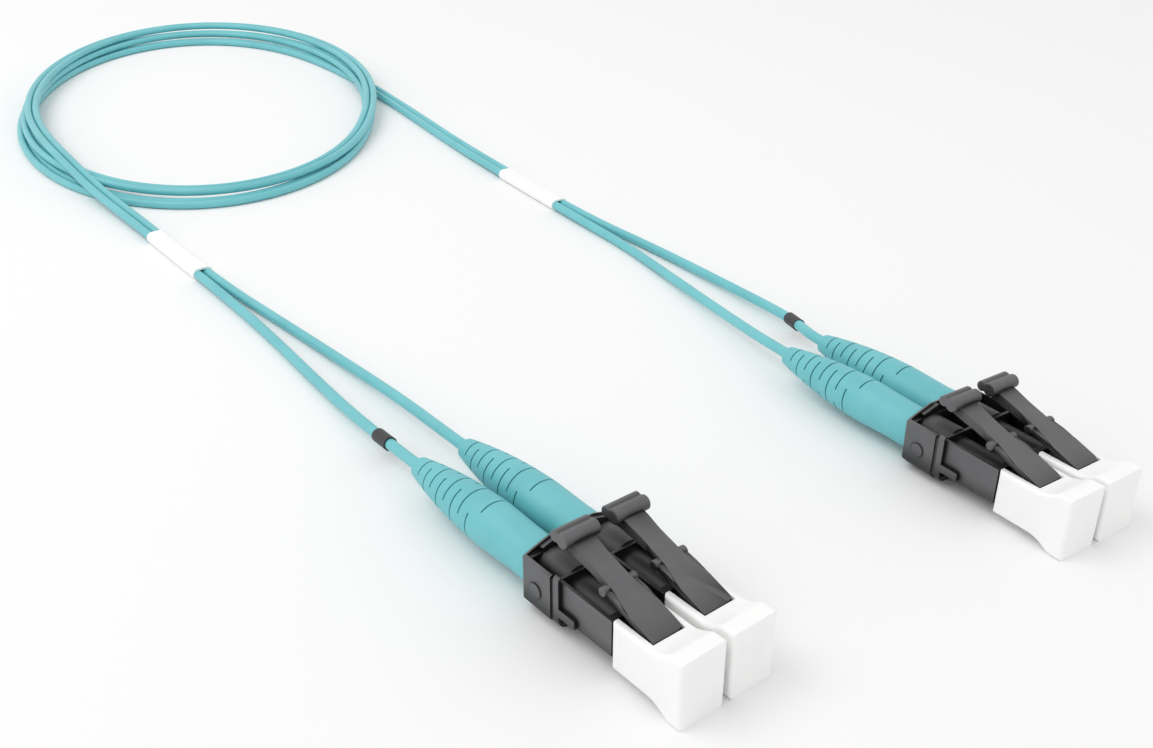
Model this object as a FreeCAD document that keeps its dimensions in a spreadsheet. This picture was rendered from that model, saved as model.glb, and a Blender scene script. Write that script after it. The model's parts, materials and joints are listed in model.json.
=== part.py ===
# Duplex LC fibre patch cord: two duplex plugs joined by one metre of flat twin cord.
# Millimetres, +Z up, floor at Z = 0. The origin is on the floor, midway between the two duplex plugs.
# The near duplex plug points its ferrules along +X; the far one is turned a little about Z.
#
# Every plug piece is modelled once, in the plug's own axes: X along the ferrule towards the nose,
# Y to the left, Z up, with X = 0 at the tip of the latch lever and the ferrule's axis on Y = Z = 0.
# A link then puts a copy of it in each of the four plugs.
import FreeCAD, Part
import math
import os
import Sketcher

# A size is a number, or a formula of other sizes.
SIZES = {
    # the duplex pair and where the two pairs lie
    "plug_pitch": 6.25,
    "axis_rise": 3.75,
    "near_ahead": 13.755,
    "near_left": -25.096,
    "far_ahead": 21.595,
    "far_left": 22.634,
    "far_turn": -5.58,
    "play": 0.05,
    # plug housing
    "nose_side": 4.45,
    "nose_front": 1.0,
    "nose_back": 4.6,
    "nose_chamfer": 0.3,
    "body_wide": 5.3,
    "body_top": 2.6,
    "body_back": 12.5,
    "body_wall": 0.35,
    "body_bevel": 0.8,
    "stem_side": 4.6,
    "stem_shelf": -0.1,
    "stem_radius": 2.1,
    "stem_rise": 0.75,
    "stem_back": 16.5,
    "well_floor": -0.9,
    "well_back": 12.15,
    "well_front": 5.4,
    "barrel_radius": 2.02,
    "mouth_radius": 1.3,
    "mouth_back": 2.6,
    "seat_back": 3.4,
    "seat_radius": "=sleeve_radius + 0.07",
    "chamber_radius": 1.45,
    # ferrule, its flange and its spring
    "ferrule_radius": 0.6245,
    "ferrule_front": 3.0,
    "ferrule_step": 2.5,
    "ferrule_tail": 5.0,
    "ferrule_tail_radius": 0.45,
    "ferrule_chamfer": 0.18,
    "flange_radius": "=chamber_radius - 0.1",
    "flange_long": 1.2,
    "sleeve_radius": "=spring_radius - spring_wire / 2 - 0.11",
    "flange_tail": 9.2,
    "spring_wire": 0.3,
    "spring_radius": "=chamber_radius - 0.14 - spring_wire / 2",
    "spring_turns": 5.0,
    "ferrule_travel": 0.8,
    # rear body, crimp ring and boot
    "rear_front": 10.4,
    "rear_shoulder": "=stem_back + 0.1",
    "crimp_radius": 1.1,
    "crimp_long": 2.9,
    "crimp_back": "=rear_shoulder + crimp_long",
    "jacket_bore": "=strand_wide / 2 + play",
    "ring_front": "=rear_shoulder + 0.3",
    "ring_long": 3.3,
    "ring_back": "=ring_front + ring_long",
    "ring_radius": 1.62,
    "ring_band": 0.7,
    "ring_step": 0.12,
    "boot_front": "=clip_back - boot_seat",
    "boot_neck": "=boot_front + 4",
    "boot_neck_radius": 2.55,
    "boot_swell": "=boot_front + 9",
    "boot_swell_radius": 2.72,
    "boot_back": "=boot_front + 23.5",
    "boot_tip_radius": 1.2,
    "boot_tip_round": 0.35,
    "boot_cavity_back": "=ring_back + 0.4",
    "boot_cavity_radius": "=ring_radius + 0.13",
    "slot_first": "=boot_swell + 0.3",
    "slot_step": 1.52,
    "slot_wide": 0.2,
    "slot_core": 1.0,
    "slot_turn": 142.0,
    "short_slot_turn": 72.0,
    # latch lever
    "lever_wide": 3.7,
    "lever_tip": 0.4,
    "lever_rise": 0.315,
    "lever_under_rise": 0.25,
    "lever_heel": 0.2,
    "lever_back": 12.6,
    "lever_blade": 3.2,
    "lever_neck_wide": 2.6,
    "lever_waist": 2.4,
    "lever_corner": 0.7,
    "lug_back": 6.75,
    "lug_rise": 4.22,
    "lug_radius": 0.52,
    "lug_wide": 4.1,
    "lug_round": 0.15,
    "wing_front": 3.0,
    "wing_bend": 4.9,
    "wing_drop": 0.04,
    "thumb_wide": 4.3,
    "thumb_rise": 6.6,
    "thumb_over": 0.55,
    "thumb_under": 0.5,
    "ridge_front": 12.5,
    "ridge_radius": 0.8,
    "ridge_step": 1.08,
    "rear_ridge_radius": 0.62,
    "rear_ridge_lift": 0.02,
    # dust cap
    "cap_cheek": 0.525,
    "cap_side": "=nose_side + 2 * cap_cheek",
    "cap_wall": 0.45,
    "cap_back": 4.5,
    "cap_front": 4.6,
    "cap_room": 3.6,
    "cap_waist_end": 1.1,
    "lip_start": 2.9,
    "cap_slot_wide": 3.9,
    "cap_round": 0.4,
    "cap_hollow_radius": 3.4,
    "cap_lip_radius": 1.7,
    # duplex clip
    "clip_wall": 1.0,
    "clip_back": "=rear_shoulder + clip_wall",
    "clip_front": 13.1,
    "boot_seat": 0.6,
    "rim_wall": 0.35,
    "clip_half": "=(plug_pitch + body_wide + play) / 2 + rim_wall",
    "clip_floor": 0.875,
    "clip_bottom": "=0 - nose_side / 2 - play - clip_floor",
    "clip_side_top": 2.6,
    "clip_eave": 3.05,
    "clip_eave_half": "=clip_half - 1.1",
    "clip_crown": 3.82,
    "clip_crown_half": "=clip_half - 3.5",
    "clip_bevel": 0.8,
    "clip_round": 0.4,
    "roof_wall": 0.45,
    "tongue_half": 1.15,
    "tongue_bend": 3.05,
    "tongue_rise": 3.47,
    "pocket_shelf": -0.15,
    "web_top": 0.5,
    "neck_front": 12.6,
    "neck_step": 0.15,
    "rim_front": 11.85,
    "rim_bottom": "=clip_bottom + 0.15",
    "rim_top": 3.1,
    "rim_round": 0.4,
    "rim_foot_round": 1.2,
    "tab_front": 9.5,
    "tab_top": -0.45,
    "tab_bottom": -1.4,
    "dot_back": 15.35,
    "dot_rise": -0.3,
    "dot_radius": 0.8,
    "dot_high": 0.12,
    # cord
    "strand_wide": 1.2,
    "strand_gap": 0.04,
    "coil_half_long": 61.0,
    "coil_half_wide": 35.9,
    "coil_ahead": -186.2,
    "coil_left": 18.1,
    "coil_turn": -20.4,
    "coil_layer": 1.22,
    "coil_lean_ahead": 1.51,
    "coil_lean_left": -1.23,
    "coil_top_end": -166.0,
    "sleeve_long": 19.0,
    "sleeve_wall": 0.31,
    "band_long": 3.4,
    "band_wall": 0.22,
    "band_back": 9.2,
}

# The cord's way, as points chosen by hand. The twin cord's middle line runs from the split sleeve to the
# coil, and each leg runs from its boot to the sleeve.
NEAR_TWIN = [
    (-91, -22.25, 0.97),
    (-123.5, -21.55, 0.97),
    (-141, -22.2, 1.7),
    (-158, -21.9, 2.75),
    (-171, -21, 3.0),
]
NEAR_MARKED_LEG = [(-40, -26.8, 1.9), (-54, -26.2, 0.95), (-74, -24.5, 0.65)]
NEAR_PLAIN_LEG = [(-40, -19.1, 1.95), (-54, -18.8, 1.0), (-73, -20.2, 0.65)]
FAR_TWIN = [
    (-79.5, 38, 0.97),
    (-112, 42.1, 0.97),
    (-129, 44.9, 0.62),
    (-148, 48.3, 0.62),
    (-168, 51.6, 0.62),
    (-187, 54.0, 0.62),
]
FAR_MARKED_LEG = [(-29.9, 35.1, 1.95), (-46, 38.6, 0.95), (-63, 39.2, 0.65)]
FAR_PLAIN_LEG = [(-31.5, 28.3, 1.8), (-47, 32, 0.95), (-63, 34.9, 0.65)]

Vector = FreeCAD.Vector
document = FreeCAD.newDocument("LcPatchCord")
sheet = document.addObject("Spreadsheet::Sheet", "Sizes")
for row, (alias, value) in enumerate(SIZES.items(), start=1):
    sheet.set(f"A{row}", alias)
    sheet.set(f"B{row}", str(value))
    sheet.setAlias(f"B{row}", alias)
document.recompute()


# A length that keeps both its value and the sheet formula it comes from, so that a sketch can be drawn
# with the one and bound to the other.
class Size:
    def __init__(self, value, formula):
        self.value = float(value)
        self.formula = formula

    def join(self, other, sign, value):
        return Size(value, f"({self.formula} {sign} {as_size(other).formula})")

    def __add__(self, other):
        return self.join(other, "+", self.value + as_size(other).value)

    def __sub__(self, other):
        return self.join(other, "-", self.value - as_size(other).value)

    def __mul__(self, other):
        return self.join(other, "*", self.value * as_size(other).value)

    def __truediv__(self, other):
        return self.join(other, "/", self.value / as_size(other).value)

    def __neg__(self):
        return Size(-self.value, f"(0 - {self.formula})")

    __radd__ = __add__
    __rmul__ = __mul__


def as_size(number):
    return number if isinstance(number, Size) else Size(number, repr(float(number)))


def size(alias):
    return Size(sheet.get(alias), f"Sizes.{alias}")


def bind(thing, name, length):
    thing.setExpression(name, as_size(length).formula)


# ---- sketches and features -------------------------------------------------------------------------


def new_body(label):
    body = document.addObject("PartDesign::Body", label)
    body.Label = label
    return body


# A sketch on one of the body's own planes, moved along that plane's normal.
def new_sketch(body, plane, offset=0.0):
    sketch = body.newObject("Sketcher::SketchObject", "Sketch")
    origin_plane = next(part for part in body.Origin.OriginFeatures if part.Role == plane)
    sketch.AttachmentSupport = [(origin_plane, "")]
    sketch.MapMode = "FlatFace"
    bind(sketch, "AttachmentOffset.Base.z", offset)
    return sketch


# Holds a point of an edge at its place across and up; None leaves that direction free.
def pin(sketch, edge, end, point):
    for kind, length in zip(("DistanceX", "DistanceY"), point):
        if length is None:
            continue
        length = as_size(length)
        number = sketch.addConstraint(Sketcher.Constraint(kind, -1, 1, edge, end, length.value))
        sketch.setExpression(f"Constraints[{number}]", length.formula)


# A closed outline through the points. bends maps the number of an edge to its arc's centre, with None for
# the direction that the arc's ends decide, and to a point that it passes near. Other edges are straight.
def outline(sketch, points, bends=None):
    bends = bends or {}
    corners = [Vector(as_size(across).value, as_size(up).value, 0) for across, up in points]
    ends = []
    for number, corner in enumerate(corners):
        following = corners[(number + 1) % len(corners)]
        if number in bends:
            centre, near = bends[number]
            middle = Vector(as_size(near[0]).value, as_size(near[1]).value, 0)
            edge = sketch.addGeometry(Part.Arc(corner, middle, following), False)
            pin(sketch, edge, 3, centre)
        else:
            edge = sketch.addGeometry(Part.LineSegment(corner, following), False)
        forward = (sketch.getPoint(edge, 1) - corner).Length < 1e-6
        ends.append((edge, 1, 2) if forward else (edge, 2, 1))
    for number, (edge, start, finish) in enumerate(ends):
        next_edge, next_start, _ = ends[(number + 1) % len(ends)]
        sketch.addConstraint(Sketcher.Constraint("Coincident", edge, finish, next_edge, next_start))
        pin(sketch, edge, start, points[number])


def box(sketch, low, high, bottom, top):
    outline(sketch, [(low, bottom), (high, bottom), (high, top), (low, top)])


def circle(sketch, across, up, radius):
    centre = Vector(as_size(across).value, as_size(up).value, 0)
    edge = sketch.addGeometry(Part.Circle(centre, Vector(0, 0, 1), as_size(radius).value), False)
    bound = sketch.addConstraint(Sketcher.Constraint("Radius", edge, as_size(radius).value))
    sketch.setExpression(f"Constraints[{bound}]", as_size(radius).formula)
    pin(sketch, edge, 3, (across, up))


def pad(body, sketch, length, both_ways=False):
    feature = body.newObject("PartDesign::Pad", "Pad")
    feature.Profile = sketch
    feature.Midplane = both_ways
    bind(feature, "Length", length)
    document.recompute()
    return feature


# A cut along the sketch's normal, which must take some of the body away.
def pocket(body, sketch, length, both_ways=False):
    before = body.Shape.Volume
    feature = body.newObject("PartDesign::Pocket", "Pocket")
    feature.Profile = sketch
    feature.Midplane = both_ways
    feature.Reversed = not both_ways
    bind(feature, "Length", length)
    document.recompute()
    if body.Shape.Volume >= before - 1e-6:
        raise ValueError(f"{body.Label}: a pocket cuts nothing")
    return feature


def turned(body, sketch):
    feature = body.newObject("PartDesign::Revolution", "Revolution")
    feature.Profile = sketch
    feature.ReferenceAxis = (sketch, ["H_Axis"])
    feature.Angle = 360
    document.recompute()
    return feature


def groove(body, sketch, angle):
    before = body.Shape.Volume
    feature = body.newObject("PartDesign::Groove", "Groove")
    feature.Profile = sketch
    feature.ReferenceAxis = (sketch, ["H_Axis"])
    feature.Midplane = True
    bind(feature, "Angle", angle)
    document.recompute()
    if body.Shape.Volume >= before - 1e-6:
        raise ValueError(f"{body.Label}: a groove cuts nothing")
    return feature


def edge_names(shape, wanted):
    return [f"Edge{number}" for number, edge in enumerate(shape.Edges, start=1) if wanted(edge)]


def dress(body, kind, wanted, length):
    base = body.Tip
    feature = body.newObject(f"PartDesign::{kind}", kind)
    feature.Base = (base, edge_names(base.Shape, wanted))
    bind(feature, "Radius" if kind == "Fillet" else "Size", length)
    document.recompute()
    return feature


def lies_at(edge, **place):
    wanted = [(axis, as_size(length).value) for axis, length in place.items()]
    gaps = [getattr(vertex.Point, axis) - value for vertex in edge.Vertexes for axis, value in wanted]
    return all(abs(gap) < 1e-4 for gap in gaps)


# ---- the pieces of one plug ------------------------------------------------------------------------


# The moulded plug: a square nose, an open-topped body with a barrel along its middle, and a stem that the
# duplex clip holds, square below and arched above. A stepped bore takes the ferrule and its spring.
def plug_housing():
    body = new_body("PlugHousing")
    half_nose, half_stem, half_body = size("nose_side") / 2, size("stem_side") / 2, size("body_wide") / 2
    stem_long = size("stem_back") - size("body_back")
    stem = new_sketch(body, "YZ_Plane", -size("stem_back"))
    box(stem, -half_stem, half_stem, -half_nose, size("stem_shelf"))
    pad(body, stem, stem_long)
    stem_top = new_sketch(body, "YZ_Plane", -size("stem_back"))
    radius, rise, shelf = size("stem_radius"), size("stem_rise"), size("stem_shelf")
    outline(
        stem_top,
        [(-radius, shelf), (radius, shelf), (radius, rise), (-radius, rise)],
        bends={2: ((None, rise), (0, rise + radius))},
    )
    pad(body, stem_top, stem_long)
    trunk = new_sketch(body, "YZ_Plane", -size("body_back"))
    bevel = size("body_bevel")
    outline(
        trunk,
        [
            (bevel - half_body, -half_nose),
            (half_body - bevel, -half_nose),
            (half_body, bevel - half_nose),
            (half_body, size("body_top")),
            (-half_body, size("body_top")),
            (-half_body, bevel - half_nose),
        ],
    )
    pad(body, trunk, size("body_back") - size("nose_back"))
    half_well = half_body - size("body_wall")
    well = new_sketch(body, "YZ_Plane", -size("well_back"))
    box(well, -half_well, half_well, size("well_floor"), size("body_top") + 1)
    pocket(body, well, size("well_back") - size("well_front"))
    barrel = new_sketch(body, "YZ_Plane", -size("body_back"))
    circle(barrel, 0, 0, size("barrel_radius"))
    pad(body, barrel, size("body_back") - size("nose_back"))
    nose = new_sketch(body, "YZ_Plane", -size("nose_back"))
    box(nose, -half_nose, half_nose, -half_nose, half_nose)
    pad(body, nose, size("nose_back") + size("nose_front"))
    dress(body, "Chamfer", lambda edge: lies_at(edge, x=size("nose_front")), size("nose_chamfer"))
    bore = new_sketch(body, "XZ_Plane")
    behind, ahead = -(size("stem_back") + 1), size("nose_front") + 1
    outline(
        bore,
        [
            (behind, 0),
            (ahead, 0),
            (ahead, size("mouth_radius")),
            (-size("mouth_back"), size("mouth_radius")),
            (-size("mouth_back"), size("seat_radius")),
            (-size("seat_back"), size("seat_radius")),
            (-size("seat_back"), size("chamber_radius")),
            (behind, size("chamber_radius")),
        ],
    )
    groove(body, bore, 360)
    return body


# The ceramic ferrule: full size where it enters a socket, a little thinner where the flange grips it.
def ferrule():
    body = new_body("Ferrule")
    profile = new_sketch(body, "XZ_Plane")
    front, chamfer, radius = size("ferrule_front"), size("ferrule_chamfer"), size("ferrule_radius")
    outline(
        profile,
        [
            (-size("ferrule_tail"), 0),
            (front, 0),
            (front, radius - chamfer),
            (front - chamfer, radius),
            (-size("ferrule_step"), radius),
            (-size("ferrule_step"), size("ferrule_tail_radius")),
            (-size("ferrule_tail"), size("ferrule_tail_radius")),
        ],
    )
    turned(body, profile)
    return body


# The metal holder pressed on the ferrule: a collar through the seat, the flange behind it, and a tail
# tube inside the spring.
def ferrule_flange():
    body = new_body("FerruleFlange")
    profile = new_sketch(body, "XZ_Plane")
    flange_front = -(size("seat_back") + size("play"))
    flange_back = flange_front - size("flange_long")
    bore, sleeve = size("ferrule_tail_radius"), size("sleeve_radius")
    outline(
        profile,
        [
            (-size("flange_tail"), bore),
            (-(size("ferrule_step") + size("play")), bore),
            (-(size("ferrule_step") + size("play")), sleeve),
            (flange_front, sleeve),
            (flange_front, size("flange_radius")),
            (flange_back, size("flange_radius")),
            (flange_back, sleeve),
            (-size("flange_tail"), sleeve),
        ],
    )
    turned(body, profile)
    return body


# The wire spring that pushes the ferrule forward, between the flange and the rear body.
def spring():
    body = new_body("Spring")
    front = size("seat_back") + size("play") + size("flange_long") + size("spring_wire") / 2 + 0.02
    back = size("rear_front") - size("spring_wire") / 2 - 0.02
    profile = new_sketch(body, "XZ_Plane")
    circle(profile, -back, size("spring_radius"), size("spring_wire") / 2)
    helix = body.newObject("PartDesign::AdditiveHelix", "Helix")
    helix.Profile = profile
    helix.ReferenceAxis = (profile, ["H_Axis"])
    helix.Mode = "height-turns-angle"
    bind(helix, "Height", back - front)
    bind(helix, "Turns", size("spring_turns"))
    document.recompute()
    return body


# The metal rear body that closes the spring's chamber, with the stem that the crimp ring squeezes.
def rear_body():
    body = new_body("RearBody")
    profile = new_sketch(body, "XZ_Plane")
    plug_radius = size("chamber_radius") - size("play") / 2
    shoulder = size("rear_shoulder")
    outline(
        profile,
        [
            (-size("crimp_back"), size("jacket_bore")),
            (-size("rear_front") - 1.5, size("jacket_bore")),
            (-size("rear_front"), size("sleeve_radius") + size("play")),
            (-size("rear_front"), plug_radius),
            (-shoulder, plug_radius),
            (-shoulder, size("crimp_radius")),
            (-size("crimp_back"), size("crimp_radius")),
        ],
    )
    turned(body, profile)
    return body


def crimp_ring():
    body = new_body("CrimpRing")
    profile = new_sketch(body, "XZ_Plane")
    bore, band_end = size("crimp_radius") + size("play") / 2, size("ring_front") + size("ring_band")
    thin = size("ring_radius") - size("ring_step")
    outline(
        profile,
        [
            (-size("ring_back"), bore),
            (-size("ring_front"), bore),
            (-size("ring_front"), size("ring_radius")),
            (-band_end, size("ring_radius")),
            (-(band_end + size("ring_step")), thin),
            (-size("ring_back"), thin),
        ],
    )
    turned(body, profile)
    return body


# The soft boot: a turned body that tapers to the cord, cut by nine stations of slots. Odd stations from
# the tail are cut above and below, even ones left and right, so the boot bends both ways. The two
# stations nearest the plug are short.
def boot():
    body = new_body("Boot")
    profile = new_sketch(body, "XZ_Plane")
    taper_long = size("boot_back") - size("boot_swell")
    taper_drop = size("boot_swell_radius") - size("boot_tip_radius")
    halfway = (-(size("boot_swell") + taper_long / 2), size("boot_swell_radius") - taper_drop * 0.25)
    outline(
        profile,
        [
            (-size("boot_back"), size("jacket_bore")),
            (-size("boot_back"), size("boot_tip_radius")),
            (-size("boot_swell"), size("boot_swell_radius")),
            (-size("boot_neck"), size("boot_neck_radius")),
            (-size("boot_front"), size("boot_neck_radius")),
            (-size("boot_front"), size("boot_cavity_radius")),
            (-size("boot_cavity_back"), size("boot_cavity_radius")),
            (-size("boot_cavity_back"), size("jacket_bore")),
        ],
        bends={1: ((-size("boot_swell"), None), halfway)},
    )
    turned(body, profile)
    tip = {"x": -size("boot_back")}
    dress(body, "Fillet", lambda edge: lies_at(edge, **tip) and is_wide(edge), size("boot_tip_round"))
    for plane, stations, turn in (
        ("XZ_Plane", (2, 4, 6, 8), "slot_turn"),
        ("XY_Plane", (3, 5, 7), "slot_turn"),
        ("XZ_Plane", (0,), "short_slot_turn"),
        ("XY_Plane", (1,), "short_slot_turn"),
    ):
        slots = new_sketch(body, plane)
        for station in stations:
            middle = -(size("slot_first") + size("slot_step") * station)
            low, high = middle - size("slot_wide") / 2, middle + size("slot_wide") / 2
            reach = size("boot_swell_radius") + 1
            box(slots, low, high, size("slot_core"), reach)
            box(slots, low, high, -reach, -size("slot_core"))
        groove(body, slots, size(turn))
    return body


def is_wide(edge):
    return edge.BoundBox.YLength > 2 * size("jacket_bore").value + 0.1


# The latch lever: a thin plate hinged at its tip on the nose, rising to a ribbed thumb bar. A wing on
# each side runs back to a locking lug.
def latch_lever():
    body = new_body("LatchLever")
    seat = size("nose_side") / 2 + size("play") / 2
    back, heel = size("lever_back"), size("lever_heel")
    top = seat + size("lever_tip")
    arm = new_sketch(body, "XZ_Plane")
    outline(
        arm,
        [
            (0, seat),
            (0, top),
            (-back, top + size("lever_rise") * back),
            (-back, seat + size("lever_under_rise") * (back - heel)),
            (-heel, seat),
        ],
    )
    pad(body, arm, size("thumb_wide") + 2, both_ways=True)
    plan = new_sketch(body, "XY_Plane")
    half, waist, neck = size("lever_wide") / 2, size("lever_waist") / 2, size("lever_neck_wide") / 2
    side = [
        (1, half),
        (-size("lever_blade"), half),
        (-(size("lever_blade") + 2.8), neck),
        (-(size("lug_back") + 1.9), waist),
        (-(back - 3), waist),
        (-(back - 1.4), neck),
        (-(back + 1), neck),
    ]
    box(plan, -(back + 2), 2, -size("thumb_wide"), size("thumb_wide"))
    outline(plan, side + [(along, -across) for along, across in reversed(side)])
    pocket(body, plan, 30, both_ways=True)
    corner = {"x": 0, "y": half}
    dress(body, "Fillet", lambda edge: lies_at(edge, **corner), size("lever_corner"))
    lug_back, lug_rise = size("lug_back"), size("lug_rise")
    wing_front, wing_bend = size("wing_front"), size("wing_bend")
    wings = new_sketch(body, "XZ_Plane")
    outline(
        wings,
        [
            (-wing_front, top + size("lever_rise") * wing_front - size("wing_drop")),
            (-wing_bend, top + size("lever_rise") * wing_bend - size("wing_drop")),
            (-lug_back, lug_rise + size("lug_radius") / 2),
            (-lug_back, lug_rise - size("lug_radius") / 2),
            (-wing_front, seat + size("lever_under_rise") * (wing_front - heel) + size("wing_drop")),
        ],
    )
    pad(body, wings, size("lever_wide"), both_ways=True)
    lugs = new_sketch(body, "XZ_Plane")
    circle(lugs, -lug_back, lug_rise, size("lug_radius"))
    pad(body, lugs, size("lug_wide"), both_ways=True)
    lug_end = size("lug_wide") / 2
    ends = (lug_end, -lug_end)
    dress(body, "Fillet", lambda edge: any(lies_at(edge, y=end) for end in ends), size("lug_round"))
    thumb, front, step = size("thumb_rise"), size("ridge_front"), size("ridge_step")
    bar = new_sketch(body, "XZ_Plane")
    outline(
        bar,
        [
            (-front, thumb - size("thumb_under")),
            (-front, thumb + size("thumb_over")),
            (-(front + step), thumb + size("thumb_over")),
            (-(front + step), thumb - size("thumb_under")),
        ],
    )
    pad(body, bar, size("thumb_wide"), both_ways=True)
    ridges = new_sketch(body, "XZ_Plane")
    circle(ridges, -front, thumb, size("ridge_radius"))
    pad(body, ridges, size("thumb_wide"), both_ways=True)
    rear_ridge = new_sketch(body, "XZ_Plane")
    circle(rear_ridge, -(front + step), thumb + size("rear_ridge_lift"), size("rear_ridge_radius"))
    pad(body, rear_ridge, size("thumb_wide"), both_ways=True)
    return body


# The dust cap: a pocket over the nose, with a lip that flares up and down at its closed front end and a
# slot in its roof for the lever.
def dust_cap():
    body = new_body("DustCap")
    half, lip = size("cap_side") / 2, size("axis_rise")
    waist = size("nose_side") / 2 + size("cap_wall")
    profile = new_sketch(body, "XZ_Plane")
    outline(
        profile,
        [
            (-size("cap_back"), -waist),
            (size("cap_waist_end"), -waist),
            (size("lip_start"), -lip),
            (size("cap_front"), -lip),
            (size("cap_front"), lip),
            (size("lip_start"), lip),
            (size("cap_waist_end"), waist),
            (-size("cap_back"), waist),
        ],
    )
    pad(body, profile, size("cap_side"), both_ways=True)
    hollow_end, lip_start = size("cap_waist_end"), size("lip_start")
    for along, up, radius in ((hollow_end, waist, "cap_hollow_radius"), (lip_start, lip, "cap_lip_radius")):
        for level in (up, -up):
            corner = {"x": along, "z": level}
            dress(body, "Fillet", lambda edge: lies_at(edge, **corner), size(radius))
    dress(body, "Fillet", lambda edge: lies_at(edge, y=half) or lies_at(edge, y=-half), size("cap_round"))
    inside = size("nose_side") / 2 + size("play")
    hollow = new_sketch(body, "YZ_Plane", -size("cap_back"))
    box(hollow, -inside, inside, -inside, inside)
    pocket(body, hollow, size("cap_back") + size("nose_front") + size("play"))
    tip_room = new_sketch(body, "YZ_Plane")
    circle(tip_room, 0, 0, size("mouth_radius"))
    pocket(body, tip_room, size("cap_room"))
    slot = new_sketch(body, "XY_Plane", size("nose_side") / 2 - 0.5)
    half_slot = size("cap_slot_wide") / 2
    box(slot, -(size("cap_back") + 1), size("play") * 3, -half_slot, half_slot)
    pocket(body, slot, 3)
    return body


# ---- the duplex clip, in axes midway between the two plugs -----------------------------------------


# The clip: a collar with a bevelled roof, open on top ahead of the rear wall that both boots plug into,
# and a separate rim in front, on a narrower neck, with a tab low on each side.
def duplex_clip():
    body = new_body("DuplexClip")
    half, bottom, bevel = size("clip_half"), size("clip_bottom"), size("clip_bevel")
    half_pitch, play = size("plug_pitch") / 2, size("play")
    right_side = [
        (bevel - half, bottom),
        (half - bevel, bottom),
        (half, bottom + bevel),
        (half, size("clip_side_top")),
        (size("clip_eave_half"), size("clip_eave")),
        (size("clip_crown_half"), size("clip_crown")),
    ]
    left_side = [(-across, up) for across, up in reversed(right_side[2:])]
    collar = new_sketch(body, "YZ_Plane", -size("clip_back"))
    outline(collar, right_side + left_side)
    pad(body, collar, size("clip_back") - size("clip_front"))
    dress(body, "Fillet", lambda edge: lies_at(edge, x=-size("clip_back")), size("clip_round"))
    neck_half = half - size("neck_step")
    neck = new_sketch(body, "YZ_Plane", -size("clip_front"))
    box(neck, -neck_half, neck_half, bottom + size("clip_bevel"), size("clip_side_top") - size("neck_step"))
    pad(body, neck, size("clip_front") - size("neck_front"))
    rim = new_sketch(body, "YZ_Plane", -size("neck_front"))
    box(rim, -half, half, size("rim_bottom"), size("rim_top"))
    pad(body, rim, size("neck_front") - size("rim_front"))
    for across in (half, -half):
        for level, radius in (("rim_bottom", "rim_foot_round"), ("rim_top", "rim_round")):
            corner = {"y": across, "z": size(level)}
            dress(body, "Fillet", lambda edge: lies_at(edge, **corner), size(radius))
    half_stem, half_body = size("stem_side") / 2 + play, size("body_wide") / 2 + play / 2
    inside = size("clip_wall") - size("clip_back")
    floor, above = -(size("nose_side") / 2 + play), size("clip_crown") + 2
    under_roof = size("roof_wall") - size("clip_back")
    for reach, start, low in (
        (half_stem, inside, floor),
        (half_body, inside, size("pocket_shelf")),
        (half_body, under_roof, size("boot_neck_radius") + play),
        (half_body, -size("neck_front"), floor),
    ):
        pockets = new_sketch(body, "YZ_Plane", start)
        for middle in (half_pitch, -half_pitch):
            box(pockets, middle - reach, middle + reach, low, above)
        pocket(body, pockets, size("clip_back"))
    web = new_sketch(body, "YZ_Plane", inside)
    box(web, -half_pitch, half_pitch, size("web_top"), above)
    pocket(body, web, size("clip_back"))
    bend, across, rise = size("tongue_bend"), size("tongue_half"), size("tongue_rise")
    low_roof, high_roof = size("clip_eave") + play, size("clip_crown") - play
    tongues = new_sketch(body, "YZ_Plane", under_roof - size("roof_wall") / 2)
    roofs = ((half_pitch, high_roof, low_roof), (-half_pitch, low_roof, high_roof))
    for middle, left_roof, right_roof in roofs:
        ends = [(middle - across, bend), (middle + across, bend)]
        tops = [(middle + across, right_roof), (middle - across, left_roof)]
        outline(tongues, ends + tops, bends={0: ((None, rise), (middle, rise - across))})
    pad(body, tongues, inside - under_roof + size("roof_wall") / 2)
    behind = -(size("clip_back") + 1)
    seats = new_sketch(body, "YZ_Plane", behind)
    holes = new_sketch(body, "YZ_Plane", behind)
    for middle in (half_pitch, -half_pitch):
        circle(seats, middle, 0, size("boot_neck_radius") + play / 2)
        circle(holes, middle, 0, size("ring_radius") + play)
    pocket(body, seats, size("boot_seat") + 1)
    pocket(body, holes, size("clip_wall") + 2)
    tabs = new_sketch(body, "YZ_Plane", -size("rim_front"))
    for low, high in ((half_pitch + half_body, half), (-half, -(half_pitch + half_body))):
        box(tabs, low, high, size("tab_bottom"), size("tab_top"))
    pad(body, tabs, size("rim_front") - size("tab_front"))
    dot = new_sketch(body, "XZ_Plane", half)
    circle(dot, -size("dot_back"), size("dot_rise"), size("dot_radius"))
    pad(body, dot, size("dot_high"))
    return body


# ---- the cord --------------------------------------------------------------------------------------


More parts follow.
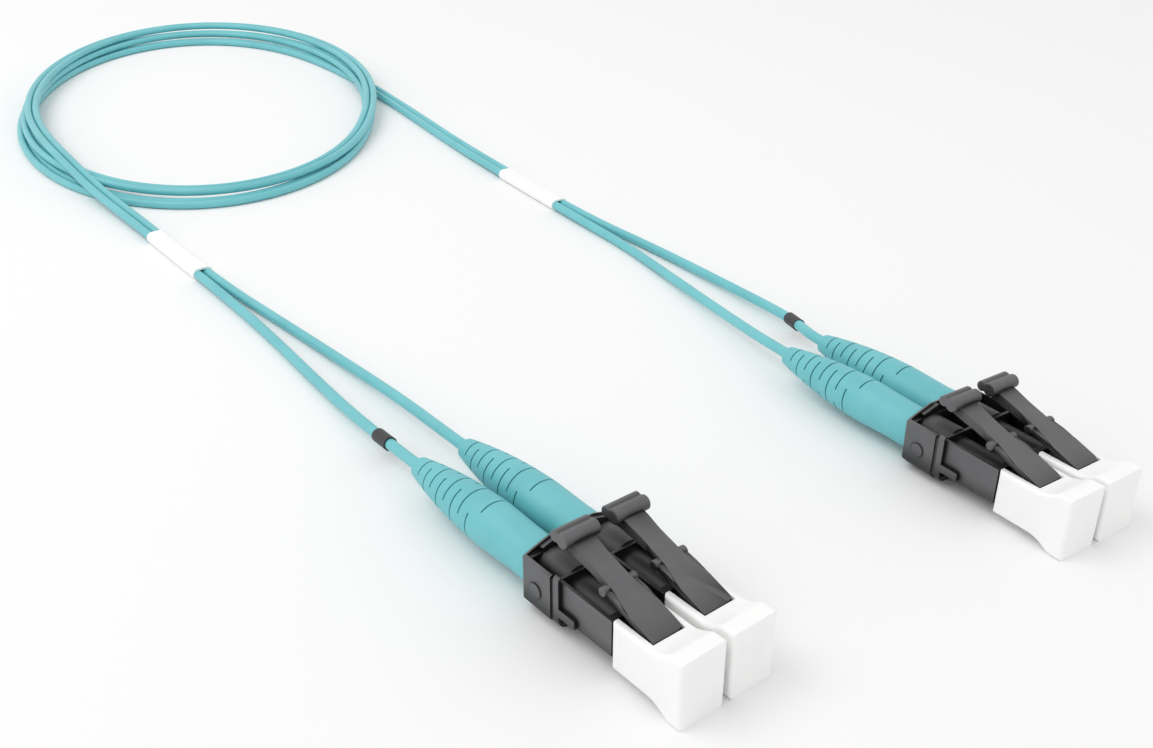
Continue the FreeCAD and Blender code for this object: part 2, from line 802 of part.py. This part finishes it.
# A tube along straight runs that are joined by tangent arcs, each as large as its two runs allow.
def tube(points, diameter):
    points = [Vector(*point) for point in points]
    edges, start, radii = [], points[0], []
    for before, corner, after in zip(points, points[1:], points[2:]):
        back, ahead = (before - corner), (after - corner)
        reach = 0.45 * min(back.Length, ahead.Length)
        turn = math.pi - back.getAngle(ahead)
        radius = reach / math.tan(turn / 2)
        back.normalize()
        ahead.normalize()
        enter, leave = corner + back * reach, corner + ahead * reach
        inward = (back + ahead).normalize()
        middle = corner + inward * (radius / math.cos(turn / 2) - radius)
        edges += [Part.LineSegment(start, enter).toShape(), Part.Arc(enter, middle, leave).toShape()]
        radii.append(radius)
        start = leave
    edges.append(Part.LineSegment(start, points[-1]).toShape())
    path = Part.Wire(edges)
    section = Part.Wire(Part.Circle(points[0], points[1] - points[0], diameter / 2).toShape())
    solid = path.makePipeShell([section], True, False)
    expected = math.pi * diameter**2 / 4 * path.Length
    if abs(solid.Volume / expected - 1) > 0.01:
        raise ValueError("a tube's volume is not its section times its length")
    print(f"  run of {path.Length:.1f} mm, radii {[round(radius) for radius in radii]}")
    return solid, path


# The points of one strand of the twin cord: the middle line moved sideways, left when shift is positive.
def beside(points, shift):
    moved = []
    for number, point in enumerate(points):
        before = Vector(*points[max(number - 1, 0)])
        after = Vector(*points[min(number + 1, len(points) - 1)])
        along = after - before
        sideways = Vector(-along.y, along.x, 0).normalize()
        moved.append(tuple(Vector(*point) + sideways * shift))
    return moved


def connector_place(end):
    turn = sheet.get("far_turn") if end == "far" else 0.0
    origin = Vector(sheet.get(f"{end}_ahead"), sheet.get(f"{end}_left"), sheet.get("axis_rise"))
    return FreeCAD.Placement(origin, FreeCAD.Rotation(Vector(0, 0, 1), turn))


def plug_place(end, side):
    sideways = sheet.get("plug_pitch") / 2 * (1 if side == "left" else -1)
    return connector_place(end) * FreeCAD.Placement(Vector(0, sideways, 0), FreeCAD.Rotation())


# One strand, from the rear body's end, out through the boot, along its leg and the twin cord to the coil.
# It comes with its middle line.
def strand(label, end, side, leg, twin):
    place = plug_place(end, side)
    inside = place.multVec(Vector(-(sheet.get("crimp_back") + sheet.get("play")), 0, 0))
    outside = place.multVec(Vector(-(sheet.get("boot_back") + 1.5), 0, 0))
    apart = (sheet.get("strand_wide") + sheet.get("strand_gap")) / 2
    # the twin runs away from the plug, so the plug's left side is the right side of the way
    shift = -apart if side == "left" else apart
    feature = document.addObject("Part::Feature", label)
    feature.Label = label
    print(label)
    feature.Shape, path = tube([inside, outside] + leg + beside(twin, shift), sheet.get("strand_wide"))
    return feature, path


# One turn of the twin cord as an oval ring, with its middle and its underside at the place given.
def coil_turn(number, place):
    half_wide = size("strand_wide") + size("strand_gap")
    ovals = []
    for name, shift in (("Outside", half_wide), ("Inside", -half_wide)):
        oval = document.addObject("Part::Ellipse", f"Turn{number}{name}")
        bind(oval, "MajorRadius", size("coil_half_long") + shift)
        bind(oval, "MinorRadius", size("coil_half_wide") + shift)
        block = document.addObject("Part::Extrusion", f"Turn{number}{name}Block")
        block.Base = oval
        block.DirMode = "Custom"
        block.Dir = Vector(0, 0, 1)
        block.Solid = True
        bind(block, "LengthFwd", size("coil_layer"))
        ovals.append(block)
    ring = document.addObject("Part::Cut", f"Turn{number}")
    ring.Base, ring.Tool = ovals
    ring.Placement = FreeCAD.Placement(place, FreeCAD.Rotation(Vector(0, 0, 1), sheet.get("coil_turn")))
    return ring


# The coil: three turns laid on one another, each leaning over the one below. The top turn is only the
# half away from the plugs.
def coil():
    lean = Vector(sheet.get("coil_lean_ahead"), sheet.get("coil_lean_left"), -sheet.get("coil_layer"))
    top = Vector(sheet.get("coil_ahead"), sheet.get("coil_left"), 2 * sheet.get("coil_layer"))
    turns = [coil_turn(number, top + lean * number) for number in range(3)]
    kept = document.addObject("Part::Box", "TopTurnKept")
    reach = size("coil_half_long") * 2
    bind(kept, "Length", reach)
    bind(kept, "Width", reach)
    bind(kept, "Height", size("coil_layer") * 3)
    corner = Vector(sheet.get("coil_top_end") - reach.value, top.y - reach.value / 2, 0)
    kept.Placement = FreeCAD.Placement(corner, FreeCAD.Rotation())
    half_turn = document.addObject("Part::Common", "TopTurn")
    half_turn.Base, half_turn.Tool = turns[0], kept
    stack = document.addObject("Part::MultiFuse", "Coil")
    stack.Shapes = [half_turn] + turns[1:]
    stack.Label = "cord_coil"
    document.recompute()
    return stack


# The white sleeve where the twin cord splits: an oval tube round both strands.
def split_sleeve():
    body = new_body("SplitSleeve")
    bore = size("strand_wide") / 2 + size("play")
    spread = (size("strand_wide") + size("strand_gap")) / 2
    section = new_sketch(body, "YZ_Plane")
    for radius in (bore + size("sleeve_wall"), bore):
        outline(
            section,
            [(-spread, -radius), (spread, -radius), (spread, radius), (-spread, radius)],
            bends={
                1: ((spread, None), (spread + radius, 0)),
                3: ((-spread, None), (-spread - radius, 0)),
            },
        )
    pad(body, section, size("sleeve_long"), both_ways=True)
    return body


def marker_band():
    body = new_body("MarkerBand")
    section = new_sketch(body, "YZ_Plane")
    bore = size("strand_wide") / 2 + size("play")
    circle(section, 0, 0, bore + size("band_wall"))
    circle(section, 0, 0, bore)
    pad(body, section, size("band_long"), both_ways=True)
    return body


# The place on a path at a distance from its start, with X along the path.
def on_path(path, distance):
    for edge in path.Edges:
        if distance < edge.Length:
            break
        distance -= edge.Length
    parameter = edge.getParameterByLength(distance)
    turn = FreeCAD.Rotation(Vector(1, 0, 0), edge.tangentAt(parameter))
    return FreeCAD.Placement(edge.valueAt(parameter), turn)


def midway(start, finish):
    start, finish = Vector(*start), Vector(*finish)
    return FreeCAD.Placement((start + finish) / 2, FreeCAD.Rotation(Vector(1, 0, 0), finish - start))


# ---- the assembly ----------------------------------------------------------------------------------


def linked(master, label, place):
    link = document.addObject("App::Link", label)
    link.LinkedObject = master
    link.Label = label
    link.Placement = place
    return link


def assemble():
    nodes = []
    plug_pieces = {
        "plug_housing": plug_housing(),
        "latch_lever": latch_lever(),
        "ferrule": ferrule(),
        "ferrule_flange": ferrule_flange(),
        "ferrule_spring": spring(),
        "rear_body": rear_body(),
        "crimp_ring": crimp_ring(),
        "boot": boot(),
        "dust_cap": dust_cap(),
    }
    clip = duplex_clip()
    for end in ("near", "far"):
        nodes.append(linked(clip, f"{end}_duplex_clip", connector_place(end)))
        for side in ("left", "right"):
            place = plug_place(end, side)
            nodes += [linked(master, f"{end}_{side}_{name}", place) for name, master in plug_pieces.items()]
    near_marked, near_path = strand("near_marked_strand", "near", "right", NEAR_MARKED_LEG, NEAR_TWIN)
    near_plain, _ = strand("near_plain_strand", "near", "left", NEAR_PLAIN_LEG, NEAR_TWIN)
    far_marked, far_path = strand("far_marked_strand", "far", "left", FAR_MARKED_LEG, FAR_TWIN)
    far_plain, _ = strand("far_plain_strand", "far", "right", FAR_PLAIN_LEG, FAR_TWIN)
    nodes += [near_marked, near_plain, far_marked, far_plain, coil()]
    sleeve, band = split_sleeve(), marker_band()
    nodes.append(linked(sleeve, "near_split_sleeve", midway(NEAR_TWIN[0], NEAR_TWIN[1])))
    nodes.append(linked(sleeve, "far_split_sleeve", midway(FAR_TWIN[0], FAR_TWIN[1])))
    behind_boot = sheet.get("boot_back") - sheet.get("crimp_back") + sheet.get("band_back")
    nodes.append(linked(band, "near_marker_band", on_path(near_path, behind_boot)))
    nodes.append(linked(band, "far_marker_band", on_path(far_path, behind_boot)))
    document.recompute()
    return nodes


def write(nodes):
    failed = [item.Label for item in document.Objects if {"Invalid", "Error"} & set(item.State)]
    if failed:
        raise ValueError(f"failed objects: {failed}")
    os.makedirs("parts", exist_ok=True)
    for node in nodes:
        shape = Part.getShape(node)
        if shape.isNull() or not shape.isValid() or not shape.Solids:
            raise ValueError(f"{node.Label}: no valid solid")
        shape.exportStep(f"parts/{node.Label}.step")
    print(f"{len(nodes)} nodes written")


write(assemble())
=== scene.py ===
# Looks of a duplex LC fibre patch cord: the twin cord and rounded levers made in Blender, copies of the
# ferrule springs, and procedural materials for them and the CAD pieces.
import bpy
import json
from math import cos, pi, radians, sin
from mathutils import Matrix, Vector


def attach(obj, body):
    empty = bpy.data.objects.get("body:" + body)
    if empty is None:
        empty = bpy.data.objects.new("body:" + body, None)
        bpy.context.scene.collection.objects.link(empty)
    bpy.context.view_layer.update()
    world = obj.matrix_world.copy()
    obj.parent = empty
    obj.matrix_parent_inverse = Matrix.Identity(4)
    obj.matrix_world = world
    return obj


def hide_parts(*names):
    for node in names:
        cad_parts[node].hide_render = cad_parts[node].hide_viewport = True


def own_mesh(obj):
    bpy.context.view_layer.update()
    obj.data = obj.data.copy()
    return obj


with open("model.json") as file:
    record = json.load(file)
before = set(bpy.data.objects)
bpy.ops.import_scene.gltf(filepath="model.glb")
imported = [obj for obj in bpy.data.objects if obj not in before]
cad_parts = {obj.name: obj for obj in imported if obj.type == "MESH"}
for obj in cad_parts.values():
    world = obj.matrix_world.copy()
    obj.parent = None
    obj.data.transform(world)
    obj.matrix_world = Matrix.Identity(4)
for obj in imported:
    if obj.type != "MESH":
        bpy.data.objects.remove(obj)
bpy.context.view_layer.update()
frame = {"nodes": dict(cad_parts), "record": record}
print("frame loaded")

scene = bpy.context.scene
nodes = frame["nodes"]
rootBody = "cord_and_plugs"
mm = 0.001
farTurn = -5.58  # degrees, of the far plugs about Z
sides = ("left", "right")


cameraSizes = {
    "place": (74.444, -88.05, 78.863),  # mm
    "look": (-0.681, 0.5541, -0.4787),
    "lens": 38.74,
    "sensor": 36.0,
    "nearest": 5,  # mm, where the view starts
}


def addCamera(sizes):
    bpy.ops.object.camera_add(location=Vector(sizes["place"]) * mm)
    camera = bpy.context.object
    camera.name = "camera"
    camera.rotation_euler = Vector(sizes["look"]).to_track_quat("-Z", "Y").to_euler()
    camera.data.lens = sizes["lens"]
    camera.data.sensor_width = sizes["sensor"]
    camera.data.clip_start = sizes["nearest"] * mm
    scene.camera = camera


addCamera(cameraSizes)


# millimetres, unless a note says otherwise
cordSizes = {
    "strand": 1.4,
    "gap": 0.04,
    "halfLong": 60.6,  # the coil's oval, at the twin's middle
    "halfWide": 35.2,
    "middle": (-186.6, 18.6, 3.56),  # of the top turn
    "lean": (2.1, -1.71, -1.42),  # from each turn to the one below
    "turn": -20.4,  # degrees, of the oval about Z
    "startAngle": -66.0,  # degrees round the oval, where the cord comes onto it
    "finishAngle": 122.3,  # where it leaves it
    "turns": 3,  # clockwise turns, taken off the finish angle
    "topAngle": -57.7,  # where the turns are counted from
    "pointsPerTurn": 24,
    "drop": (0.60, 0.72),  # the share of a turn in which it drops to the next layer
    "drops": 2,
    "stepsAlong": 6,  # between two points of the spline
    "stepsAround": 5,
}

# Points of the cord's way, each leg from inside its boot to the split sleeve
nearMarkedLeg = [
    (-5.795, -28.221, 3.75),
    (-28.245, -28.221, 3.75),
    (-43.5, -26.39, 1.36),
    (-58, -25.0, 0.8),
    (-74, -23.55, 0.72),
]
nearPlainLeg = [
    (-5.795, -21.971, 3.75),
    (-28.245, -21.971, 3.75),
    (-43.5, -20.1, 1.9),
    (-60, -19.85, 0.9),
    (-75, -20.4, 0.72),
]
farMarkedLeg = [
    (2.442, 27.645, 3.75),
    (-19.901, 29.828, 3.75),
    (-23.5, 31.7, 3.2),
    (-30.14, 35.17, 1.84),
    (-42, 37.0, 1.2),
    (-60, 38.9, 0.72),
]
farPlainLeg = [
    (1.834, 21.425, 3.75),
    (-20.509, 23.608, 3.75),
    (-36, 28.8, 1.75),
    (-54, 33.6, 0.85),
    (-66, 36.1, 0.72),
]
nearTwin = [(-91, -22.25, 0.97), (-123.5, -21.55, 0.97), (-141, -22.2, 2.0), (-158, -21.8, 3.4)]
farTwin = [
    (-79.5, 38, 0.97),
    (-112, 42.1, 0.97),
    (-129, 44.9, 0.72),
    (-148, 48.3, 0.72),
    (-168, 51.6, 0.72),
    (-186, 54.0, 0.72),
]


def besideTwin(points, shift):
    # the twin's middle line moved to one side: left of the way it runs when shift is positive
    moved = []
    for number, point in enumerate(points):
        before = Vector(points[max(number - 1, 0)])
        after = Vector(points[min(number + 1, len(points) - 1)])
        along = after - before
        sideways = Vector((-along.y, along.x, 0)).normalized()
        moved.append(tuple(Vector(point) + sideways * shift))
    return moved


def layerAt(turn, sizes):
    # how many layers below the top one the cord lies, with a smooth drop in every turn
    start, finish = sizes["drop"]
    shares = [(turn - number - start) / (finish - start) for number in range(sizes["drops"])]
    shares = [min(max(share, 0), 1) for share in shares]
    return sum(share * share * (3 - 2 * share) for share in shares)


def coilPoints(sizes, shift):
    # the oval's turns, clockwise seen from above, from its south side to its north side
    count = sizes["pointsPerTurn"]
    swell = 1 / cos(pi / count)  # the spline cuts inside its points
    start = radians(sizes["startAngle"])
    finish = radians(sizes["finishAngle"]) - 2 * pi * sizes["turns"]
    steps = round((start - finish) / (2 * pi) * count)
    lay = radians(sizes["turn"])
    points = []
    for step in range(steps + 1):
        angle = start + (finish - start) * step / steps
        layer = layerAt((radians(sizes["topAngle"]) - angle) / (2 * pi), sizes)
        along = (sizes["halfLong"] + shift) * swell * cos(angle)
        across = (sizes["halfWide"] + shift) * swell * sin(angle)
        oval = Vector((along * cos(lay) - across * sin(lay), along * sin(lay) + across * cos(lay), 0))
        points.append(tuple(Vector(sizes["middle"]) + Vector(sizes["lean"]) * layer + oval))
    return points


def addStrand(name, startLeg, finishLeg, shift, sizes):
    # shift is outwards from the coil's middle, which is left of the cord's way
    apart = shift * (sizes["strand"] + sizes["gap"]) / 2
    way = startLeg + besideTwin(nearTwin, apart) + coilPoints(sizes, apart)
    way += besideTwin(farTwin[::-1], apart) + finishLeg[::-1]
    curve = bpy.data.curves.new(name, "CURVE")
    curve.dimensions = "3D"
    spline = curve.splines.new("NURBS")
    spline.points.add(len(way) - 1)
    for point, place in zip(spline.points, way):
        point.co = (place[0] * mm, place[1] * mm, place[2] * mm, 1)
        point.radius = sizes["strand"] / 2 * mm
    spline.order_u = 3
    spline.use_endpoint_u = True
    spline.resolution_u = sizes["stepsAlong"]
    curve.bevel_depth = 1.0  # times each point's radius
    curve.bevel_resolution = sizes["stepsAround"]
    curve.use_fill_caps = True
    strand = bpy.data.objects.new(name, curve)
    scene.collection.objects.link(strand)
    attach(strand, rootBody)
    return strand


def lengthOf(strand):
    # measured along the bare spline
    bevel = strand.data.bevel_depth
    strand.data.bevel_depth = 0
    line = bpy.data.meshes.new_from_object(strand)
    places = [vertex.co for vertex in line.vertices]
    ends = [edge.vertices for edge in line.edges]
    total = sum((places[start] - places[finish]).length for start, finish in ends)
    bpy.data.meshes.remove(line)
    strand.data.bevel_depth = bevel
    return total


markedStrand = addStrand("cord_marked", nearMarkedLeg, farMarkedLeg, 1, cordSizes)
plainStrand = addStrand("cord_plain", nearPlainLeg, farPlainLeg, -1, cordSizes)
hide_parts("near_marked_strand", "far_marked_strand", "cord_coil")
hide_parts("near_plain_strand", "far_plain_strand", "cord_coil")
print("cord lengths", round(lengthOf(markedStrand), 4), round(lengthOf(plainStrand), 4))
sleeves = [nodes["near_split_sleeve"], nodes["far_split_sleeve"]]
bands = [nodes["near_marker_band"], nodes["far_marker_band"]]
for strand, leg, held in ((markedStrand, nearMarkedLeg, bands + sleeves), (plainStrand, nearPlainLeg, [])):
    lengthOf(strand)
print("cord laid")


def copyOf(node, name):
    piece = nodes[node].copy()
    piece.data = piece.data.copy()
    piece.name = name
    scene.collection.objects.link(piece)
    return piece


leverSizes = {
    "barRound": 0.32,  # mm, on the thumb bar's ends
    "barSegments": 5,
    "smoothAngle": 35,  # degrees
    "merge": 0.0002,  # mm
    "flat": 0.3,  # degrees between faces that count as one
    "endSlack": 0.002,  # mm, within which a corner is on the bar's end
}


def addLever(plug, turn, sizes):
    # the latch lever with its thumb bar's ends rounded over
    bpy.ops.object.select_all(action="DESELECT")
    lever = copyOf(plug + "_latch_lever", plug + "_rounded_lever")
    lever.select_set(True)
    bpy.context.view_layer.objects.active = lever
    bpy.ops.object.mode_set(mode="EDIT")
    bpy.ops.mesh.select_all(action="SELECT")
    bpy.ops.mesh.remove_doubles(threshold=sizes["merge"] * mm)
    bpy.ops.mesh.dissolve_limited(angle_limit=radians(sizes["flat"]))
    bpy.ops.mesh.select_mode(type="EDGE")
    bpy.ops.mesh.select_all(action="DESELECT")
    bpy.ops.object.mode_set(mode="OBJECT")
    across = Vector((-sin(radians(turn)), cos(radians(turn)), 0))
    places = [vertex.co.dot(across) for vertex in lever.data.vertices]
    for end in (min(places), max(places)):
        for edge in lever.data.edges:
            if all(abs(places[corner] - end) < sizes["endSlack"] * mm for corner in edge.vertices):
                edge.select = True
    bpy.ops.object.mode_set(mode="EDIT")
    bpy.ops.mesh.bevel(offset=sizes["barRound"] * mm, segments=sizes["barSegments"], clamp_overlap=True)
    bpy.ops.object.mode_set(mode="OBJECT")
    bpy.ops.object.shade_smooth_by_angle(angle=radians(sizes["smoothAngle"]))
    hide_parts(plug + "_latch_lever")
    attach(lever, plug + "_latch")
    return lever


levers = [addLever("near_" + side, 0, leverSizes) for side in sides]
levers += [addLever("far_" + side, farTurn, leverSizes) for side in sides]
print("levers rounded", [len(lever.data.polygons) for lever in levers])


def addSpring(plug):
    # the ferrule's spring, copied with a mesh of its own and carried with the cord and plugs
    spring = copyOf(plug + "_ferrule_spring", plug + "_coil_spring")
    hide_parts(plug + "_ferrule_spring")
    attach(spring, rootBody)
    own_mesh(spring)
    return spring


springs = [addSpring("near_" + side) for side in sides]
springs += [addSpring("far_" + side) for side in sides]
print("springs ready", len(springs))


def linear(code):
    # an sRGB hex colour as linear red, green, blue and alpha
    parts = [int(code[place : place + 2], 16) / 255 for place in (1, 3, 5)]
    return (*(part / 12.92 if part <= 0.04045 else ((part + 0.055) / 1.055) ** 2.4 for part in parts), 1)


def addNode(tree, kind, links=None, **settings):
    # links: input name to the socket that feeds it. settings: node settings, and input values by name
    node = tree.nodes.new(kind)
    for name, value in settings.items():
        if hasattr(node, name):
            setattr(node, name, value)
        else:
            node.inputs[name.replace("_", " ")].default_value = value
    for name, socket in (links or {}).items():
        tree.links.new(socket, node.inputs[name])
    return node


def newMaterial(name, shader):
    # shader: values of the Principled BSDF's own sockets
    material = bpy.data.materials.new(name)
    material.use_nodes = True
    principled = material.node_tree.nodes["Principled BSDF"]
    for socket, value in shader.items():
        principled.inputs[socket].default_value = value
    return material


patternSizes = {
    "tones": (0.3, 0.7),  # where the clouds are all dark and all light
    "cloudDetail": 3.0,
    "grainDetail": 2.0,
    "paintedShadeRays": 8,
    "edgeRays": 4,
}


def addPaintedRecessShade(tree, colour, sizes):
    # painted shade: the base colour darkened towards near black down in the recesses, where the ambient
    # occlusion finds little open sky
    rays = patternSizes["paintedShadeRays"]
    openness = addNode(tree, "ShaderNodeAmbientOcclusion", samples=rays, Distance=sizes["reach"] * mm)
    low, high = sizes["openness"]
    found = {"Value": openness.outputs["AO"]}
    share = addNode(tree, "ShaderNodeMapRange", found, From_Min=low, From_Max=high)
    links = {0: share.outputs["Result"], 7: colour}  # the factor, and the colour at a factor of one
    mix = addNode(tree, "ShaderNodeMix", links, data_type="RGBA")
    # the painted shade's colour, used where the recess is most closed
    mix.inputs[6].default_value = linear(sizes["paintedShade"])
    return mix.outputs[2]


def addSurface(name, sizes):
    # a procedural finish: two close tones in clouds, uneven gloss, a fine grain, slightly rounded edges,
    # and painted shade in the recesses where the finish asks for it
    shader = {"IOR": sizes.get("ior", 1.5), "Metallic": sizes.get("metallic", 0.0), **sizes.get("more", {})}
    material = newMaterial(name, shader)
    tree = material.node_tree
    principled = tree.nodes["Principled BSDF"]
    place = {"Vector": addNode(tree, "ShaderNodeTexCoord").outputs["Object"]}
    scale, detail = 1 / (sizes["cloud"] * mm), patternSizes["cloudDetail"]
    clouds = addNode(tree, "ShaderNodeTexNoise", place, Scale=scale, Detail=detail).outputs["Fac"]
    tones = addNode(tree, "ShaderNodeValToRGB", {"Fac": clouds})
    for element, position, tone in zip(tones.color_ramp.elements, patternSizes["tones"], ("dark", "light")):
        element.position = position
        element.color = linear(sizes[tone])
    colour = tones.outputs["Color"]
    # painted shade darkens the base colour in recesses
    if sizes.get("paintedShade"):
        colour = addPaintedRecessShade(tree, colour, sizes)
    tree.links.new(colour, principled.inputs["Base Color"])
    low, high = sizes["rough"]
    rough = addNode(tree, "ShaderNodeMapRange", {"Value": clouds}, To_Min=low, To_Max=high)
    tree.links.new(rough.outputs["Result"], principled.inputs["Roughness"])
    scale, detail = 1 / (sizes["grain"] * mm), patternSizes["grainDetail"]
    grain = addNode(tree, "ShaderNodeTexNoise", place, Scale=scale, Detail=detail)
    links = {"Height": grain.outputs["Fac"]}
    if sizes.get("edge"):
        rays = patternSizes["edgeRays"]
        edges = addNode(tree, "ShaderNodeBevel", samples=rays, Radius=sizes["edge"] * mm)
        links["Normal"] = edges.outputs["Normal"]
    bump = addNode(tree, "ShaderNodeBump", links, Strength=sizes["relief"], Distance=sizes["depth"] * mm)
    tree.links.new(bump.outputs["Normal"], principled.inputs["Normal"])
    return material


# In a finish, cloud and grain are the patches' width, depth is the relief's height, edge is the rounding's
# radius and reach is how far the painted recess shade looks for open sky, all in millimetres.

# Low-smoke cord jacket, extruded: satin, with a faint ripple from the die
jacketSizes = {
    "dark": "#6ABDC4",
    "light": "#74C6CD",
    "cloud": 6.0,
    "rough": (0.34, 0.44),
    "grain": 0.7,
    "relief": 0.15,
    "depth": 0.03,
}

# Thermoplastic elastomer, injection-moulded: soft satin with a fine spark-eroded grain, which is drawn
# coarser than it is so that it shows
bootSizes = {
    "dark": "#67BAC1",
    "light": "#70C2C8",
    "cloud": 5.0,
    "rough": (0.42, 0.54),
    "grain": 0.12,
    "relief": 0.12,
    "depth": 0.02,
    "edge": 0.06,
}

# Glass-filled polyester, injection-moulded: dark grey, half matt, with a slightly mottled skin and a
# grain that is drawn coarser than it is so that it shows
clipSizes = {
    "dark": "#58585A",
    "light": "#606062",
    # painted shade: the colour put in the clip's recesses, where little light gets in
    "paintedShade": "#131314",
    "reach": 4.0,
    "openness": (0.8, 0.99),  # all painted shade at the first, none at the second
    "cloud": 2.5,
    "rough": (0.38, 0.52),
    "grain": 0.1,
    "relief": 0.15,
    "depth": 0.015,
    "edge": 0.07,
}

# Polyethylene, injection-moulded: milky white that lets a little light in
capSizes = {
    "dark": "#F8F8F7",
    "light": "#FCFCFB",
    "cloud": 4.0,
    "rough": (0.36, 0.46),
    "grain": 0.2,
    "relief": 0.08,
    "depth": 0.02,
    "edge": 0.1,
    "more": {"Subsurface Weight": 0.25, "Subsurface Radius": (1.0, 1.0, 1.0), "Subsurface Scale": 0.0006},
}

# Zirconia, ground and polished: dense cool white with a glassy skin
zirconiaSizes = {
    "dark": "#E9E9E4",
    "light": "#EFEFEB",
    "cloud": 1.0,
    "rough": (0.1, 0.16),
    "grain": 0.08,
    "relief": 0.05,
    "depth": 0.005,
    "ior": 2.1,
}

# Brass, turned and nickel-plated: warm pale metal with a fine lathe finish
nickelSizes = {
    "dark": "#B8B4AC",
    "light": "#C9C5BC",
    "cloud": 0.8,
    "rough": (0.26, 0.36),
    "grain": 0.05,
    "relief": 0.1,
    "depth": 0.005,
    "metallic": 1.0,
}

# Stainless spring wire, drawn: bright grey with a smooth skin
wireSizes = {
    "dark": "#A9A9A8",
    "light": "#B9B9B8",
    "cloud": 0.6,
    "rough": (0.2, 0.3),
    "grain": 0.04,
    "relief": 0.08,
    "depth": 0.004,
    "metallic": 1.0,
}

# Polyolefin tube, extruded: clean white, half matt
sleeveSizes = {
    "dark": "#F8F8F7",
    "light": "#FCFCFB",
    "cloud": 5.0,
    "rough": (0.4, 0.5),
    "grain": 0.3,
    "relief": 0.1,
    "depth": 0.02,
    "edge": 0.08,
}

# Polyolefin tube, heat-shrunk: near black, soft and slightly puckered
bandSizes = {
    "dark": "#2A2A2B",
    "light": "#333334",
    "cloud": 0.8,
    "rough": (0.45, 0.6),
    "grain": 0.3,
    "relief": 0.3,
    "depth": 0.03,
    "edge": 0.06,
}

finishes = {
    "cord_jacket": addSurface("extruded low-smoke cord jacket", jacketSizes),
    "boot_rubber": addSurface("moulded boot elastomer", bootSizes),
    "clip_plastic": addSurface("moulded glass-filled polyester", clipSizes),
    "cap_plastic": addSurface("moulded cap polyethylene", capSizes),
    "zirconia": addSurface("polished zirconia", zirconiaSizes),
    "nickel_metal": addSurface("turned nickel-plated brass", nickelSizes),
    "spring_steel": addSurface("drawn spring wire", wireSizes),
    "sleeve_plastic": addSurface("extruded white polyolefin", sleeveSizes),
    "band_black": addSurface("heat-shrunk black polyolefin", bandSizes),
}
for entry in frame["record"]["subparts"]:
    nodes[entry["node"]].data.materials.clear()
    nodes[entry["node"]].data.materials.append(finishes[entry["material_slot"]])
for strand in (markedStrand, plainStrand):
    strand.data.materials.append(finishes["cord_jacket"])
for pieces, finish in ((levers, "clip_plastic"), (springs, "spring_steel")):
    for piece in pieces:
        piece.data.materials.clear()
        piece.data.materials.append(finishes[finish])
print("materials ready")


studioSizes = {
    "floor": "#F7F7F7",
    "floorRough": 0.9,
    "floorShine": 0.1,
    "floorHalf": 10.0,  # m
    "sky": "#F7F7F7",
    "skyStrength": 0.9,
    "seenStrength": 0.95,
    "keyPower": 1.5,
    "keySize": 0.5,
    "keyPlace": (-0.25, -0.35, 0.6),  # m
    "keyAim": (-0.05, 0.0, 0.0),
}


def addFloor(sizes):
    bpy.ops.object.select_all(action="DESELECT")
    bpy.ops.mesh.primitive_plane_add(size=2 * sizes["floorHalf"], location=(0, 0, 0))
    floor = bpy.context.object
    floor.name = "floor"
    shader = {
        "Base Color": linear(sizes["floor"]),
        "Roughness": sizes["floorRough"],
        "Specular IOR Level": sizes["floorShine"],
    }
    floor.data.materials.append(newMaterial("painted floor", shader))


def addSky(sizes):
    # a plain pale surround: even light on the object, and near white where the camera, a reflection or
    # glass sees it
    world = bpy.data.worlds.new("studio")
    scene.world = world
    world.use_nodes = True
    tree = world.node_tree
    tree.nodes.clear()
    path = addNode(tree, "ShaderNodeLightPath").outputs
    glossy = {0: path["Is Camera Ray"], 1: path["Is Glossy Ray"]}
    direct = addNode(tree, "ShaderNodeMath", glossy, operation="MAXIMUM").outputs["Value"]
    through = {0: direct, 1: path["Is Transmission Ray"]}
    anySight = addNode(tree, "ShaderNodeMath", through, operation="MAXIMUM").outputs["Value"]
    light = addNode(tree, "ShaderNodeBackground", Color=linear(sizes["sky"]), Strength=sizes["skyStrength"])
    seen = addNode(tree, "ShaderNodeBackground", Color=linear("#FFFFFF"), Strength=sizes["seenStrength"])
    mix = addNode(tree, "ShaderNodeMixShader", {"Fac": anySight})
    tree.links.new(light.outputs["Background"], mix.inputs[1])
    tree.links.new(seen.outputs["Background"], mix.inputs[2])
    addNode(tree, "ShaderNodeOutputWorld", {"Surface": mix.outputs["Shader"]})


def addKeyLamp(sizes):
    # soft light from the left and above
    bpy.ops.object.light_add(type="AREA", location=sizes["keyPlace"])
    lamp = bpy.context.object
    lamp.name = "key lamp"
    lamp.data.energy = sizes["keyPower"]
    lamp.data.size = sizes["keySize"]
    look = Vector(sizes["keyAim"]) - Vector(sizes["keyPlace"])
    lamp.rotation_euler = look.to_track_quat("-Z", "Y").to_euler()


addFloor(studioSizes)
addSky(studioSizes)
addKeyLamp(studioSizes)
scene.view_settings.view_transform = "Standard"
print("studio ready")
